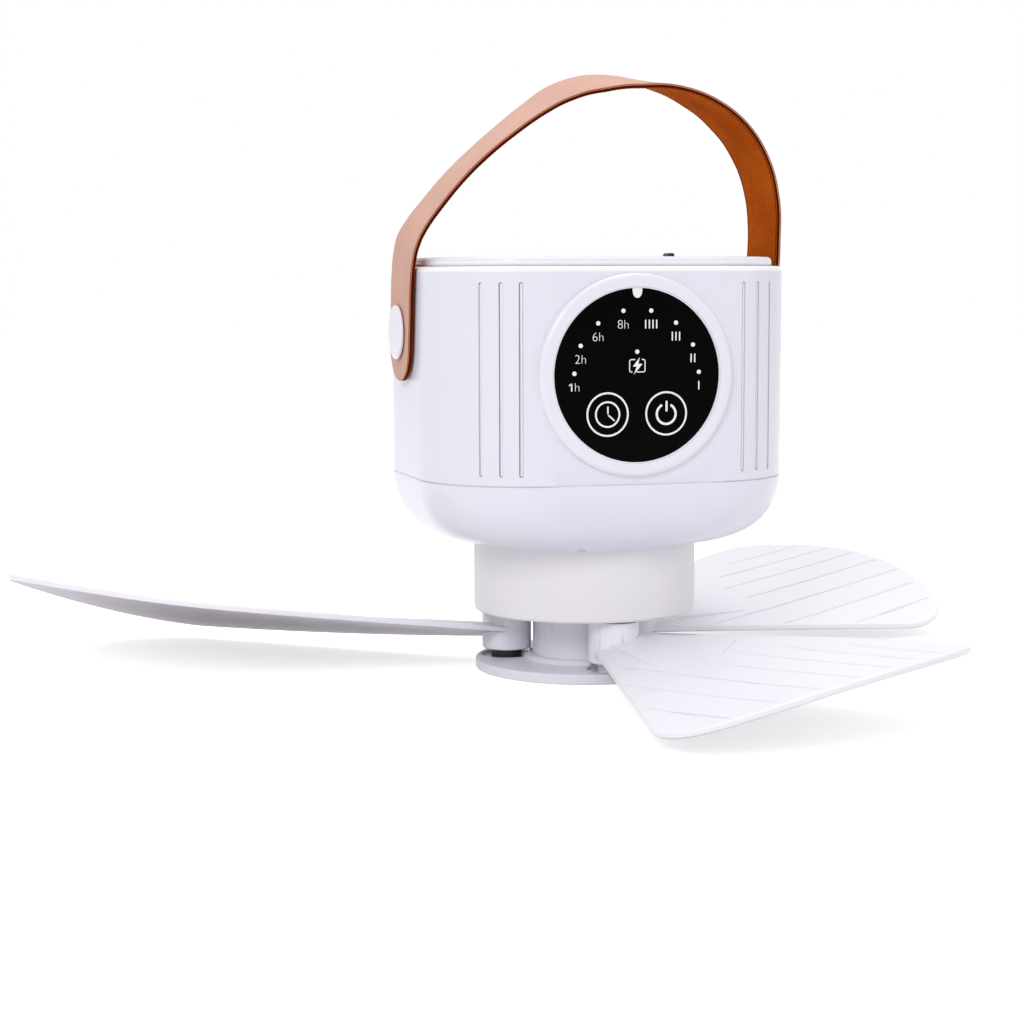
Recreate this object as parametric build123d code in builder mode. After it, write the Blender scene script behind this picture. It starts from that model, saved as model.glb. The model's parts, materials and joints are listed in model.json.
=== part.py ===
"""Portable camping fan: a battery housing with a strap handle above a three-blade folding rotor.

Millimetres, +Z up, front face towards -Y. The origin is the centre of the hub disc's underside,
the flat face that the fan stands on.
"""
import os
from math import cos, radians, sin, sqrt

from build123d import *

# housing
body_width = 131.2
body_depth = 112.1
corner_radius = 38.7
wall = 2.6
seam_z = 71.4
rim_z = 144.7
rim_fillet = 1.8
rim_width = 3.55
ledge_z = 143.0
ledge_thickness = 2.0
ledge_overhang = 2.6
seam_chamfer = 0.35
tongue_height = 3.0
tongue_thickness = 1.8
fit_gap = 0.15

# grooves beside the control panel
groove_positions = (39.5, 45.7, 51.6)
groove_width = 1.4
groove_depth = 1.3
groove_bottom_z = 74.6
groove_top_z = 139.4

# control panel and its raised ring
panel_z = 108.25
panel_radius = 28.7
panel_thickness = 2.0
panel_proud = 1.3
bezel_radius = 34.2
bezel_height = 2.2
bezel_soft = 1.7
bezel_slope = 2.2
panel_ledge = 3.2
lens_radius = 1.75
lens_height = 3.6
lens_inset = 0.5
control_board_inset = 1.8
control_board_thickness = 1.6
led_radius = 0.8
led_ring_radius = 24.0
led_ring_count = 8
led_ring_span = 180.0
led_ring_drop = 1.5
battery_led_rise = 8.0
touch_key_x = 10.8
touch_key_drop = 14.2
touch_spring_radius = 6.0
touch_spring_wire = 0.7

# lid and hanging hook
lid_top_z = 147.9
lid_fillet = 1.5
hook_axis_z = 145.3
hook_thickness = 4.4
hook_arm_width = 7.0
hook_ring_x = 22.5
hook_ring_radius = 11.2
hook_eye_radius = 6.6
hook_mouth = 7.5
hook_lip_height = 2.1
hook_lip_length = 2.8
hook_lip_width = 5.0
hook_pin_radius = 1.25
pocket_gap = 0.8
pocket_floor_gap = 0.2
pocket_wall = 1.6

# lower bowl and motor collar
bowl_top_inset_power = 2.0
collar_radius = 40.0
collar_wall = 2.6
collar_top_z = 46.9
collar_bottom_z = 21.54
collar_edge_radius = 1.2
collar_flange_thickness = 2.3
collar_flange_width = 9.0
bowl_wall = 2.4
bowl_round_inset = 19.5
bowl_round_drop = 23.2
cable_hole_radius = 9.0
body_screw_x = 42.0
body_screw_y = 29.0

# motor
bracket_thickness = 2.4
bearing_tube_radius = 6.2
bearing_radius = 4.5
bearing_length = 4.0
shaft_radius = 2.0
stator_radius = 21.2
stator_height = 10.0
stator_slots = 12
slot_mouth = 2.0
slot_radius = 3.0
can_radius = 25.0
can_wall = 1.6
can_height = 16.0
magnet_thickness = 1.6
air_gap = 0.4

# hub
disc_radius = 39.5
disc_thickness = 3.66
disc_edge = 0.6
column_radius = 18.7
column_flange_radius = 22.0
column_flange_thickness = 1.6
column_wall = 3.0
pocket_margin = 0.5
pin_seat = 1.2
shaft_seat = 2.0
hub_plate_radius = 36.6
hub_plate_thickness = 2.4
pocket_depth = 1.2
pin_circle = 28.7
pin_radius = 2.5
boss_radius = 9.0
boss_bottom_z = 6.0
boss_top_z = 20.9
washer_thickness = 0.7
spacer_radius = 5.6
press_gap = 0.02
running_gap = 0.06

# blades
blade_start_s = -12.0
blade_thickness = 2.3
blade_edge_radius = 0.8
blade_root_z = 12.7
blade_mid_s = 70.0
# one blade is longer, flatter and more pitched than the two that are alike
blade_names = ("long", "short")
blade_length = {"long": 183.5, "short": 144.9}
blade_tip_t = {"long": 1.1, "short": 6.9}
blade_pitch_slope = {"long": 0.2541, "short": 0.2067}
blade_camber = {"long": 0.001, "short": 0.002028}
blade_mid_z = {"long": 16.42, "short": 16.75}
blade_tip_z = {"long": 31.23, "short": 23.4}
trailing_corner = {"long": (125.1, -50.1), "short": (120.3, -49.5)}
leading_corner = {"long": (140.4, 52.0), "short": (119.8, 64.0)}
leading_bow = {"long": (102.7, 59.9), "short": (93.0, 59.0)}
leading_heel = (70.0, 46.8)
trailing_corner_radius = {"long": 12.0, "short": 24.0}
leading_corner_radius = {"long": 6.0, "short": 13.0}
rib_count = 7
rib_spacing = 12.3
rib_angle = 4.4
rib_width = 0.55
rib_depth = 0.25
rib_start = (86.0, 54.7, 28.9, 60.8, 59.7, 70.0, 88.7)
rib_end_margin = 4.0
rib_middle_offset = 1.25
pad_rise = 1.6
pad_reach = 62.0
pad_corners = (
    (-3.0, -6.2), (7.0, -5.4), (48.5, -10.6), (54.5, -4.0), (60.0, 8.0), (46.0, 22.0), (26.0, 20.0),
    (7.0, 12.0),
)
pad_corner_radius = 3.0
boss_edge_radius = 0.8
rotor_rest_angle = 153.44
blade_rest_folds = (5.9, 6.15, -10.7)

# strap handle
strap_pivot_z = 122.0
strap_lean = 8.0
strap_width = 27.3
strap_outer_thickness = 0.95
strap_lining_thickness = 0.75
strap_side_gap = 1.0
strap_tail = 17.0
strap_end_radius = 13.0
strap_cap_gap = 0.35
cap_edge_radius = 1.8
stud_end = 0.8
cap_radius = 9.75
cap_thickness = 2.2
cap_sleeve_radius = 4.0
cap_stud_radius = 2.5
nut_radius = 4.6
nut_thickness = 2.5
end_play = 0.3

# power
cell_radius = 9.2
cell_length = 65.0
cell_pitch = 19.2
cell_count = 4
cell_y = 26.0
tray_thickness = 2.0
board_thickness = 1.6
main_board_width = 80.0
main_board_height = 40.0
socket_width = 9.0
socket_height = 3.3
socket_length = 7.4
socket_z = 90.0
charging_board_width = 26.0
charging_board_depth = 9.0

# screws
bracket_screw_circle = 32.0
bracket_screw_count = 4
bracket_screw_bite = 1.8
can_screw_circle = 10.5
can_screw_count = 3
hub_screw_circle = 12.5
hub_screw_count = 3
hub_screw_length = 10.0
screw_post_radius = 3.4
screw_sink = 0.4
screw_radius = 1.4
screw_head_radius = 2.8
screw_head_height = 1.6

half_width = body_width / 2
half_depth = body_depth / 2
front_y = -half_depth
tray_z = seam_z + tongue_height
panel_front_y = front_y - panel_proud
panel_back_y = panel_front_y + panel_thickness
inner_front_y = front_y + wall
lid_inset = rim_width + fit_gap
lens_top = panel_radius - lens_inset
lens_y = lens_top - lens_height + lens_radius
control_board_radius = panel_radius - control_board_inset
hub_plate_z = boss_top_z + washer_thickness
can_base_z = hub_plate_z + hub_plate_thickness
bracket_z = collar_top_z - collar_flange_thickness - bracket_thickness
disc_pocket_z = disc_thickness - pocket_depth


def body_outline(inset):
    """Rounded rectangle of the housing, moved inwards by inset."""
    return RectangleRounded(body_width - 2 * inset, body_depth - 2 * inset, corner_radius - inset)


def front_plane(y):
    """Plane across the front, facing the user, on the panel's centre."""
    return Plane(origin=(0, y, panel_z), x_dir=(1, 0, 0), z_dir=(0, -1, 0))


def corner_point(x):
    """Place and outward normal on the front corner arc at the given x."""
    centre_x = half_width - corner_radius
    centre_y = corner_radius - half_depth
    across = abs(x) - centre_x
    along = sqrt(corner_radius**2 - across**2)
    side = 1 if x > 0 else -1
    return (x, centre_y - along), (side * across / corner_radius, -along / corner_radius)


# ---------------------------------------------------------------- housing
with BuildPart() as housing_shell:
    with BuildSketch(Plane.XY.offset(seam_z)):
        body_outline(0)
    extrude(amount=rim_z - seam_z)
    fillet(housing_shell.edges().group_by(Axis.Z)[-1], rim_fillet)
    chamfer(housing_shell.edges().group_by(Axis.Z)[0], seam_chamfer)
    # raised ring round the panel
    with BuildSketch(front_plane(inner_front_y)):
        Circle(bezel_radius)
    extrude(amount=wall + bezel_height)
    fillet(housing_shell.edges().filter_by(GeomType.CIRCLE).sort_by(Axis.Y)[0], bezel_soft)
    # cavity, lid seat and panel seat
    with BuildSketch(Plane.XY.offset(seam_z)):
        body_outline(wall)
    extrude(amount=ledge_z - ledge_thickness - seam_z, mode=Mode.SUBTRACT)
    with BuildSketch(Plane.XY.offset(ledge_z - ledge_thickness)):
        body_outline(rim_width + ledge_overhang)
    extrude(amount=ledge_thickness, mode=Mode.SUBTRACT)
    with BuildSketch(Plane.XY.offset(ledge_z)):
        body_outline(rim_width)
    extrude(amount=rim_z - ledge_z, mode=Mode.SUBTRACT)
    with BuildSketch(front_plane(inner_front_y)):
        Circle(panel_radius - panel_ledge)
    extrude(amount=wall + bezel_height, mode=Mode.SUBTRACT)
    with BuildSketch(front_plane(panel_back_y)):
        Circle(panel_radius + fit_gap)
    extrude(amount=wall + bezel_height, mode=Mode.SUBTRACT)
    chamfer(
        housing_shell.edges().filter_by(GeomType.CIRCLE).group_by(Axis.Y)[0].sort_by(SortBy.RADIUS)[0],
        bezel_height - panel_proud,
        bezel_slope,
    )
    # grooves on the front corners
    for x in [side * position for position in groove_positions for side in (-1, 1)]:
        (gx, gy), (nx, ny) = corner_point(x)
        middle_z = (groove_bottom_z + groove_top_z) / 2
        with BuildSketch(Plane(origin=(gx, gy, middle_z), x_dir=(0, 0, 1), z_dir=(nx, ny, 0))):
            SlotOverall(groove_top_z - groove_bottom_z, groove_width)
        extrude(amount=-groove_depth, mode=Mode.SUBTRACT)
    # holes for the strap studs and the charging socket
    with BuildSketch(Plane.YZ.offset(-half_width)):
        with Locations((0, strap_pivot_z)):
            Circle(cap_stud_radius + press_gap)
    extrude(amount=body_width, mode=Mode.SUBTRACT)
    with BuildSketch(Plane(origin=(0, half_depth, socket_z), x_dir=(-1, 0, 0), z_dir=(0, 1, 0))):
        SlotOverall(socket_width + 2 * fit_gap, socket_height + 2 * fit_gap)
    extrude(amount=-wall, mode=Mode.SUBTRACT)
housing_shell.part.label = "housing_shell"

with BuildPart() as top_lid:
    pocket_floor_z = hook_axis_z - hook_thickness / 2 - pocket_floor_gap
    pocket_end_x = -hook_thickness / 2 - pocket_gap
    with BuildSketch(Plane.XY.offset(ledge_z)):
        body_outline(lid_inset)
    extrude(amount=lid_top_z - ledge_z)
    fillet(top_lid.edges().group_by(Axis.Z)[-1], lid_fillet)
    # tray under the lid that holds the folded hook
    with BuildSketch(Plane.XY.offset(pocket_floor_z - pocket_wall)) as pocket_tray:
        with Locations((hook_ring_x, 0)):
            Circle(hook_ring_radius + pocket_gap + pocket_wall)
        with Locations(((pocket_end_x - pocket_wall + hook_ring_x) / 2, 0)):
            Rectangle(
                hook_ring_x - pocket_end_x + pocket_wall,
                hook_arm_width + 2 * (pocket_gap + pocket_wall + 2.0),
            )
    extrude(amount=ledge_z - pocket_floor_z + pocket_wall)
    with BuildSketch(Plane.XY.offset(pocket_floor_z)):
        with Locations((hook_ring_x, 0)):
            Circle(hook_ring_radius + pocket_gap)
        with Locations(((pocket_end_x + hook_ring_x) / 2, 0)):
            Rectangle(hook_ring_x - pocket_end_x, hook_arm_width + 2 * pocket_gap)
    extrude(amount=lid_top_z - pocket_floor_z, mode=Mode.SUBTRACT)
    with BuildSketch(Plane.XZ.offset(-hook_arm_width)):
        with Locations((0, hook_axis_z)):
            Circle(hook_pin_radius + press_gap)
    extrude(amount=2 * hook_arm_width, mode=Mode.SUBTRACT)
top_lid.part.label = "top_lid"

with BuildPart() as hanging_hook:
    with BuildSketch(Plane.XY.offset(hook_axis_z - hook_thickness / 2)):
        with Locations((hook_ring_x, 0)):
            Circle(hook_ring_radius)
        with Locations((hook_ring_x / 2, 0)):
            Rectangle(hook_ring_x, hook_arm_width)
        with Locations((hook_ring_x, 0)):
            Circle(hook_eye_radius, mode=Mode.SUBTRACT)
        # mouth of the hook, on one side next to the arm
        with Locations((hook_ring_x - hook_eye_radius / 2, -hook_ring_radius / 2 - hook_arm_width / 4)):
            Rectangle(hook_mouth, hook_ring_radius, rotation=20, mode=Mode.SUBTRACT)
    extrude(amount=hook_thickness)
    with BuildSketch(Plane.XZ.offset(-hook_arm_width / 2)):
        with Locations((0, hook_axis_z)):
            Circle(hook_thickness / 2)
    extrude(amount=hook_arm_width)
    # raised lip that a fingertip lifts
    with BuildSketch(Plane.XY.offset(hook_axis_z)):
        with Locations((hook_ring_x, 0)):
            Circle(hook_ring_radius)
        with Locations((hook_ring_x + hook_ring_radius, 0)):
            Rectangle(2 * hook_lip_length, hook_lip_width, mode=Mode.INTERSECT)
        with Locations((hook_ring_x, 0)):
            Circle(hook_eye_radius, mode=Mode.SUBTRACT)
    extrude(amount=hook_thickness / 2 + hook_lip_height)
    fillet(hanging_hook.edges().group_by(Axis.Z)[-1], 0.7)
    with BuildSketch(Plane.XZ.offset(-hook_arm_width)):
        with Locations((0, hook_axis_z)):
            Circle(hook_pin_radius + running_gap)
    extrude(amount=2 * hook_arm_width, mode=Mode.SUBTRACT)
hanging_hook.part.label = "hanging_hook"

with BuildPart() as hook_pin:
    pin_half = hook_arm_width / 2 + pocket_gap + 1.5
    with BuildSketch(Plane.XZ.offset(-pin_half)):
        with Locations((0, hook_axis_z)):
            Circle(hook_pin_radius)
    extrude(amount=2 * pin_half)
hook_pin.part.label = "hook_pin"


# ---------------------------------------------------------------- bowl and collar
def bowl_inset(drop):
    """Inset of the bowl's side at a height drop below the seam: an elliptic round."""
    share = min(drop / bowl_round_drop, 1.0)
    return bowl_round_inset * (1 - sqrt(1 - share**bowl_top_inset_power))


def bowl_section(z, extra=0.0):
    """Bowl outline at z, morphing from the housing outline to the collar's circle."""
    drop = seam_z - z
    total = seam_z - collar_top_z
    inset = bowl_inset(drop)
    to_circle = inset / bowl_round_inset
    width = body_width - 2 * inset * (1 + 0.1 * to_circle)
    depth = body_depth - 2 * inset * (0.62 + 0.1 * to_circle)
    radius = min(corner_radius + 2.6 * to_circle * drop / total, depth / 2 - 0.3) - extra
    return RectangleRounded(width - 2 * extra, depth - 2 * extra, radius)


bowl_drops = (0.0, 6.0, 11.5, 16.0, 19.5, 21.8, 22.95)

with BuildPart() as bowl_cover:
    for drop in bowl_drops:
        with BuildSketch(Plane.XY.offset(seam_z - drop)):
            bowl_section(seam_z - drop)
    loft()
    # shallow cone from the rounded side down to the collar
    with BuildSketch(Plane.XY.offset(seam_z - bowl_drops[-1])):
        bowl_section(seam_z - bowl_drops[-1])
    with BuildSketch(Plane.XY.offset(collar_top_z)):
        Circle(collar_radius + 1.5)
    loft()
    chamfer(bowl_cover.edges().group_by(Axis.Z)[-1], seam_chamfer)
    # tongue that locates the shell
    with BuildSketch(Plane.XY.offset(seam_z)):
        body_outline(wall + fit_gap)
    extrude(amount=tongue_height)
    # hollow
    with BuildSketch(Plane.XY.offset(seam_z - bowl_drops[1])):
        body_outline(wall + fit_gap + tongue_thickness)
    extrude(amount=bowl_drops[1] + tongue_height, mode=Mode.SUBTRACT)
    for drop in bowl_drops[1:-1]:
        with BuildSketch(Plane.XY.offset(seam_z - drop)):
            bowl_section(seam_z - drop, wall + fit_gap + tongue_thickness)
    loft(mode=Mode.SUBTRACT)
    with BuildSketch(Plane.XY.offset(collar_top_z)):
        Circle(cable_hole_radius)
    extrude(amount=seam_z - collar_top_z, mode=Mode.SUBTRACT)
    with BuildSketch(Plane.XY.offset(collar_top_z)):
        with PolarLocations(bracket_screw_circle, bracket_screw_count):
            Circle(screw_radius + press_gap)
    extrude(amount=bracket_screw_bite, mode=Mode.SUBTRACT)
bowl_cover.part.label = "bowl_cover"

with BuildPart() as motor_collar:
    with BuildSketch(Plane.XY.offset(collar_bottom_z)):
        Circle(collar_radius)
    extrude(amount=collar_top_z - collar_bottom_z)
    fillet(motor_collar.edges().group_by(Axis.Z)[0], collar_edge_radius)
    with BuildSketch(Plane.XY.offset(collar_bottom_z)):
        Circle(collar_radius - collar_wall)
    extrude(amount=collar_top_z - collar_flange_thickness - collar_bottom_z, mode=Mode.SUBTRACT)
    with BuildSketch(Plane.XY.offset(collar_bottom_z)):
        Circle(collar_radius - collar_wall - collar_flange_width)
    extrude(amount=collar_top_z - collar_bottom_z, mode=Mode.SUBTRACT)
    with BuildSketch(Plane.XY.offset(collar_top_z)):
        with PolarLocations(bracket_screw_circle, bracket_screw_count):
            Circle(screw_radius + fit_gap)
    extrude(amount=-collar_flange_thickness, mode=Mode.SUBTRACT)
motor_collar.part.label = "motor_collar"

# ---------------------------------------------------------------- control panel
with BuildPart() as control_panel:
    with BuildSketch(front_plane(panel_back_y)):
        Circle(panel_radius)
    extrude(amount=panel_thickness)
    with BuildSketch(front_plane(panel_back_y)):
        with Locations((0, lens_y)):
            Circle(lens_radius + press_gap)
            Rectangle(
                2 * (lens_radius + press_gap), lens_top - lens_y + press_gap, align=(Align.CENTER, Align.MIN)
            )
    extrude(amount=panel_thickness, mode=Mode.SUBTRACT)
control_panel.part.label = "control_panel"

with BuildPart() as receiver_lens:
    with BuildSketch(front_plane(panel_back_y)):
        with Locations((0, lens_y)):
            Circle(lens_radius)
            Rectangle(2 * lens_radius, lens_top - lens_y, align=(Align.CENTER, Align.MIN))
    extrude(amount=panel_thickness)
receiver_lens.part.label = "receiver_lens"

with BuildPart() as control_board:
    with BuildSketch(front_plane(inner_front_y + control_board_thickness)):
        Circle(control_board_radius)
        with Locations((0, control_board_radius)):
            Rectangle(2 * control_board_radius, 5.0, mode=Mode.SUBTRACT)
    extrude(amount=control_board_thickness)
control_board.part.label = "control_board"

with BuildPart() as indicator_leds:
    with BuildSketch(front_plane(inner_front_y)):
        for lamp in range(led_ring_count):
            angle = radians(90 - led_ring_span / 2 + led_ring_span * lamp / (led_ring_count - 1))
            with Locations((led_ring_radius * cos(angle), led_ring_radius * sin(angle) - led_ring_drop)):
                Circle(led_radius)
        with Locations((0, battery_led_rise)):
            Circle(led_radius)
    extrude(amount=inner_front_y - panel_back_y)
indicator_leds.part.label = "indicator_leds"

with BuildPart() as touch_springs:
    with BuildSketch(front_plane(inner_front_y)):
        with Locations((-touch_key_x, -touch_key_drop), (touch_key_x, -touch_key_drop)):
            Circle(touch_spring_radius)
            Circle(touch_spring_radius - touch_spring_wire, mode=Mode.SUBTRACT)
    extrude(amount=inner_front_y - panel_back_y)
touch_springs.part.label = "touch_springs"

# ---------------------------------------------------------------- power
with BuildPart() as battery_tray:
    with BuildSketch(Plane.XY.offset(tray_z)):
        body_outline(wall + 2 * fit_gap)
        Circle(cable_hole_radius, mode=Mode.SUBTRACT)
    extrude(amount=tray_thickness)
battery_tray.part.label = "battery_tray"

with BuildPart() as battery_cells:
    with BuildSketch(Plane.XY.offset(tray_z + tray_thickness)):
        with Locations((0, cell_y)):
            with GridLocations(cell_pitch, 0, cell_count, 1):
                Circle(cell_radius)
    extrude(amount=cell_length)
    fillet(battery_cells.edges().filter_by(GeomType.CIRCLE), 0.8)
battery_cells.part.label = "battery_cells"

with BuildPart() as main_board:
    with BuildSketch(Plane.XY.offset(tray_z + tray_thickness)):
        Rectangle(main_board_width, board_thickness)
    extrude(amount=main_board_height)
main_board.part.label = "main_board"

with BuildPart() as charging_board:
    board_top_z = socket_z - socket_height / 2
    with BuildSketch(Plane.XY.offset(board_top_z)):
        with Locations((0, half_depth - wall - charging_board_depth / 2)):
            Rectangle(charging_board_width, charging_board_depth)
    extrude(amount=-board_thickness)
charging_board.part.label = "charging_board"

with BuildPart() as charging_socket:
    socket_plane = Plane(origin=(0, half_depth - 0.4, socket_z), x_dir=(-1, 0, 0), z_dir=(0, 1, 0))
    with BuildSketch(socket_plane):
        SlotOverall(socket_width, socket_height)
    extrude(amount=-socket_length)
    with BuildSketch(socket_plane):
        SlotOverall(socket_width - 0.7, socket_height - 0.7)
    extrude(amount=-socket_length + 1.0, mode=Mode.SUBTRACT)
    with BuildSketch(socket_plane.offset(-socket_length)):
        Rectangle(socket_width - 2.6, 0.8)
    extrude(amount=socket_length - 1.0)
charging_socket.part.label = "charging_socket"

# ---------------------------------------------------------------- motor
with BuildPart() as motor_bracket:
    tube_bottom_z = can_base_z + can_wall + air_gap
    with BuildSketch(Plane.XY.offset(bracket_z)):
        Circle(collar_radius - collar_wall - fit_gap)
    extrude(amount=bracket_thickness)
    with BuildSketch(Plane.XY.offset(tube_bottom_z)):
        Circle(bearing_tube_radius)
    extrude(amount=bracket_z - tube_bottom_z)
    with BuildSketch(Plane.XY.offset(tube_bottom_z)):
        Circle(bearing_radius + press_gap)
    extrude(amount=bracket_z + bracket_thickness - tube_bottom_z, mode=Mode.SUBTRACT)
    with BuildSketch(Plane.XY.offset(bracket_z)):
        with PolarLocations(bracket_screw_circle, bracket_screw_count):
            Circle(screw_radius + fit_gap)
    extrude(amount=bracket_thickness, mode=Mode.SUBTRACT)
motor_bracket.part.label = "motor_bracket"

with BuildPart() as motor_bearings:
    for z in (tube_bottom_z, bracket_z + bracket_thickness - bearing_length):
        with BuildSketch(Plane.XY.offset(z)):
            Circle(bearing_radius)
            Circle(shaft_radius + press_gap, mode=Mode.SUBTRACT)
        extrude(amount=bearing_length)
motor_bearings.part.label = "motor_bearings"

with BuildPart() as motor_stator:
    stator_z = bracket_z - stator_height
    with BuildSketch(Plane.XY.offset(stator_z)):
        Circle(stator_radius)
        Circle(bearing_tube_radius + press_gap, mode=Mode.SUBTRACT)
        slot_centre = (stator_radius + bearing_tube_radius) / 2 + 1.0
        with PolarLocations(slot_centre, stator_slots):
            Circle(slot_radius, mode=Mode.SUBTRACT)
        with PolarLocations((slot_centre + stator_radius) / 2 + 0.5, stator_slots):
            Rectangle(stator_radius - slot_centre + 1.0, slot_mouth, mode=Mode.SUBTRACT)
    extrude(amount=stator_height)
motor_stator.part.label = "motor_stator"

with BuildPart() as motor_can:
    with BuildSketch(Plane.XY.offset(can_base_z)):
        Circle(can_radius)
    extrude(amount=can_height)
    fillet(motor_can.edges().group_by(Axis.Z)[0], 0.8)
    with BuildSketch(Plane.XY.offset(can_base_z + can_wall)):
        Circle(can_radius - can_wall)
    extrude(amount=can_height, mode=Mode.SUBTRACT)
    with BuildSketch(Plane.XY.offset(can_base_z)):
        Circle(shaft_radius + press_gap)
        with PolarLocations(can_screw_circle, can_screw_count):
            Circle(screw_radius + press_gap)
    extrude(amount=can_wall, mode=Mode.SUBTRACT)
motor_can.part.label = "motor_can"

with BuildPart() as motor_magnets:
    with BuildSketch(Plane.XY.offset(stator_z)):
        Circle(can_radius - can_wall - press_gap)
        Circle(stator_radius + air_gap, mode=Mode.SUBTRACT)
    extrude(amount=can_base_z + can_height - stator_z)
motor_magnets.part.label = "motor_magnets"

with BuildPart() as motor_shaft:
    with BuildSketch(Plane.XY.offset(can_base_z - shaft_seat)):
        Circle(shaft_radius)
    extrude(amount=bracket_z + bracket_thickness + 0.5 - can_base_z + shaft_seat)
motor_shaft.part.label = "motor_shaft"

# ---------------------------------------------------------------- hub
pin_angles = [rotor_rest_angle + 120 * blade for blade in range(3)]
pin_places = [(pin_circle * cos(radians(a)), pin_circle * sin(radians(a))) for a in pin_angles]

with BuildPart() as hub_disc:
    with BuildSketch():
        Circle(disc_radius)
    extrude(amount=disc_thickness)
    fillet(hub_disc.edges(), disc_edge)
    with BuildSketch(Plane.XY.offset(disc_pocket_z)):
        with Locations(*pin_places):
            Circle(boss_radius + pocket_margin)
    extrude(amount=pocket_depth, mode=Mode.SUBTRACT)
    with BuildSketch(Plane.XY.offset(disc_pocket_z - pin_seat)):
        with Locations(*pin_places):
            Circle(pin_radius + press_gap)
    extrude(amount=pin_seat, mode=Mode.SUBTRACT)
    with BuildSketch():
        with PolarLocations(hub_screw_circle, hub_screw_count, start_angle=rotor_rest_angle + 60):
            Circle(screw_radius + press_gap)
    extrude(amount=disc_thickness, mode=Mode.SUBTRACT)
    with BuildSketch():
        with PolarLocations(hub_screw_circle, hub_screw_count, start_angle=rotor_rest_angle + 60):
            Circle(screw_head_radius + fit_gap)
    extrude(amount=screw_head_height + screw_sink, mode=Mode.SUBTRACT)
hub_disc.part.label = "hub_disc"

with BuildPart() as hub_column:
    with BuildSketch(Plane.XY.offset(disc_thickness)):
        Circle(column_flange_radius)
        with Locations(*pin_places):
            Circle(boss_radius + pocket_margin, mode=Mode.SUBTRACT)
    extrude(amount=column_flange_thickness)
    with BuildSketch(Plane.XY.offset(disc_thickness)):
        Circle(column_radius)
        with Locations(*pin_places):
            Circle(boss_radius + pocket_margin, mode=Mode.SUBTRACT)
    extrude(amount=hub_plate_z - disc_thickness)
    with BuildSketch(Plane.XY.offset(disc_thickness)):
        Circle(column_radius - column_wall)
        with PolarLocations(hub_screw_circle, hub_screw_count, start_angle=rotor_rest_angle + 60):
            Circle(screw_post_radius, mode=Mode.SUBTRACT)
    extrude(amount=hub_plate_z - column_wall - disc_thickness, mode=Mode.SUBTRACT)
    with BuildSketch(Plane.XY.offset(disc_thickness)):
        with PolarLocations(hub_screw_circle, hub_screw_count, start_angle=rotor_rest_angle + 60):
            Circle(screw_radius + press_gap)
    extrude(amount=hub_screw_length, mode=Mode.SUBTRACT)
    with BuildSketch(Plane.XY.offset(hub_plate_z - column_wall)):
        with PolarLocations(can_screw_circle, can_screw_count):
            Circle(screw_radius + press_gap)
    extrude(amount=column_wall, mode=Mode.SUBTRACT)
hub_column.part.label = "hub_column"

with BuildPart() as hub_plate:
    with BuildSketch(Plane.XY.offset(hub_plate_z)):
        Circle(hub_plate_radius)
        Circle(shaft_radius + press_gap, mode=Mode.SUBTRACT)
        with Locations(*pin_places):
            Circle(pin_radius + press_gap, mode=Mode.SUBTRACT)
        with PolarLocations(can_screw_circle, can_screw_count):
            Circle(screw_radius + press_gap, mode=Mode.SUBTRACT)
    extrude(amount=hub_plate_thickness)
hub_plate.part.label = "hub_plate"

with BuildPart() as blade_pins:
    with BuildSketch(Plane.XY.offset(disc_pocket_z - pin_seat)):
        with Locations(*pin_places):
            Circle(pin_radius)
    extrude(amount=hub_plate_z + hub_plate_thickness - disc_pocket_z + pin_seat)
blade_pins.part.label = "blade_pins"

with BuildPart() as blade_spacers:
    with BuildSketch(Plane.XY.offset(disc_pocket_z)):
        with Locations(*pin_places):
            Circle(spacer_radius)
            Circle(pin_radius + press_gap, mode=Mode.SUBTRACT)
    extrude(amount=boss_bottom_z - disc_pocket_z)
blade_spacers.part.label = "blade_spacers"

with BuildPart() as blade_washers:
    with BuildSketch(Plane.XY.offset(boss_top_z)):
        with Locations(*pin_places):
            Circle(spacer_radius)
            Circle(pin_radius + press_gap, mode=Mode.SUBTRACT)
    extrude(amount=washer_thickness)
blade_washers.part.label = "blade_washers"

with BuildPart() as hub_screws:
    with BuildSketch(Plane.XY.offset(screw_sink)):
        with PolarLocations(hub_screw_circle, hub_screw_count, start_angle=rotor_rest_angle + 60):
            Circle(screw_head_radius)
    extrude(amount=screw_head_height)
    with BuildSketch(Plane.XY.offset(screw_sink + screw_head_height)):
        with PolarLocations(hub_screw_circle, hub_screw_count, start_angle=rotor_rest_angle + 60):
            Circle(screw_radius)
    extrude(amount=disc_thickness + hub_screw_length - 1.0 - screw_sink - screw_head_height)
hub_screws.part.label = "hub_screws"

with BuildPart() as can_screws:
    with BuildSketch(Plane.XY.offset(can_base_z + can_wall)):
        with PolarLocations(can_screw_circle, can_screw_count):
            Circle(screw_head_radius)
    extrude(amount=1.2)
    with BuildSketch(Plane.XY.offset(hub_plate_z - column_wall)):
        with PolarLocations(can_screw_circle, can_screw_count):
            Circle(screw_radius)
    extrude(amount=can_base_z + can_wall - hub_plate_z + column_wall)
can_screws.part.label = "can_screws"


# ---------------------------------------------------------------- blades
def blade_path(name, rise):
    """Curved generator of the blade's top, from behind the boss to past the tip."""
    end_s = blade_length[name] + 6
    return ThreePointArc(
        (blade_start_s, 0, blade_root_z + rise),
        (blade_mid_s, 0, blade_mid_z[name] + rise * (1 - blade_mid_s / pad_reach)),
        (end_s, 0, blade_tip_z[name] + rise * (1 - end_s / pad_reach)),
    )


def camber(name, t):
    """Height of the blade's cross-section at t, measured from the pin's line."""
    return blade_pitch_slope[name] * t - blade_camber[name] * t * t


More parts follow.
